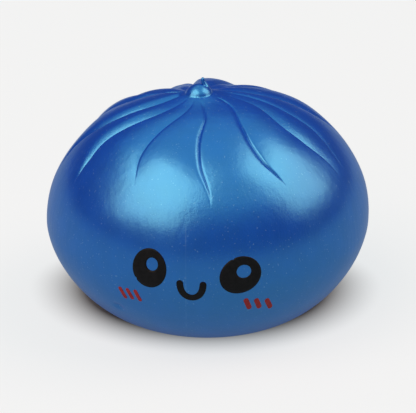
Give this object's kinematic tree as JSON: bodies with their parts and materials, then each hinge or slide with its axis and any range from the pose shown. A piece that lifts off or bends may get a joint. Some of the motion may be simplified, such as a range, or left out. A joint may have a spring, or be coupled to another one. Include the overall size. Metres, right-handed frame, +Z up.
{
  "type": "stress ball",
  "caption": "Soft squeeze ball shaped like a steamed bun, with a pleated crown, a flat base, a plugged filling port and a printed smiling face.",
  "frame": {"origin": "centre of the bounding box's footprint, on the surface the ball stands on", "axes": "+Z up through the pleated crown, face towards -Y, +X to the right of a person looking at the face"},
  "size_m": [0.085, 0.0855, 0.0638],
  "materials": {
    "skin": "satin pearl blue soft skin",
    "filling": "soft pale dough-like gel",
    "plug": "matte soft plug",
    "sealant": "cured clear-white sealant",
    "black_ink": "pad-printed black ink",
    "red_ink": "pad-printed dark red ink"
  },
  "bodies": {
    "base": {"skin_bowl": "skin", "filling": "filling", "fill_plug": "plug", "plug_seal": "sealant", "left_eye_print": "black_ink", "right_eye_print": "black_ink", "mouth_print": "black_ink", "left_blush_1": "red_ink", "left_blush_2": "red_ink", "left_blush_3": "red_ink", "right_blush_1": "red_ink", "right_blush_2": "red_ink", "right_blush_3": "red_ink"},
    "crown": {"skin_crown": "skin"}
  },
  "joints": [
    {"name": "squeeze", "type": "slide", "parent": "base", "child": "crown", "axis": [0, 0, -1], "range_m": [0, 0.024], "stiffness_N_per_m": 900, "springref_m": -0.003, "deforming": ["skin_crown", "skin_bowl", "filling", "left_eye_print", "right_eye_print", "mouth_print", "left_blush_1", "left_blush_2", "left_blush_3", "right_blush_1", "right_blush_2", "right_blush_3"]}
  ]
}
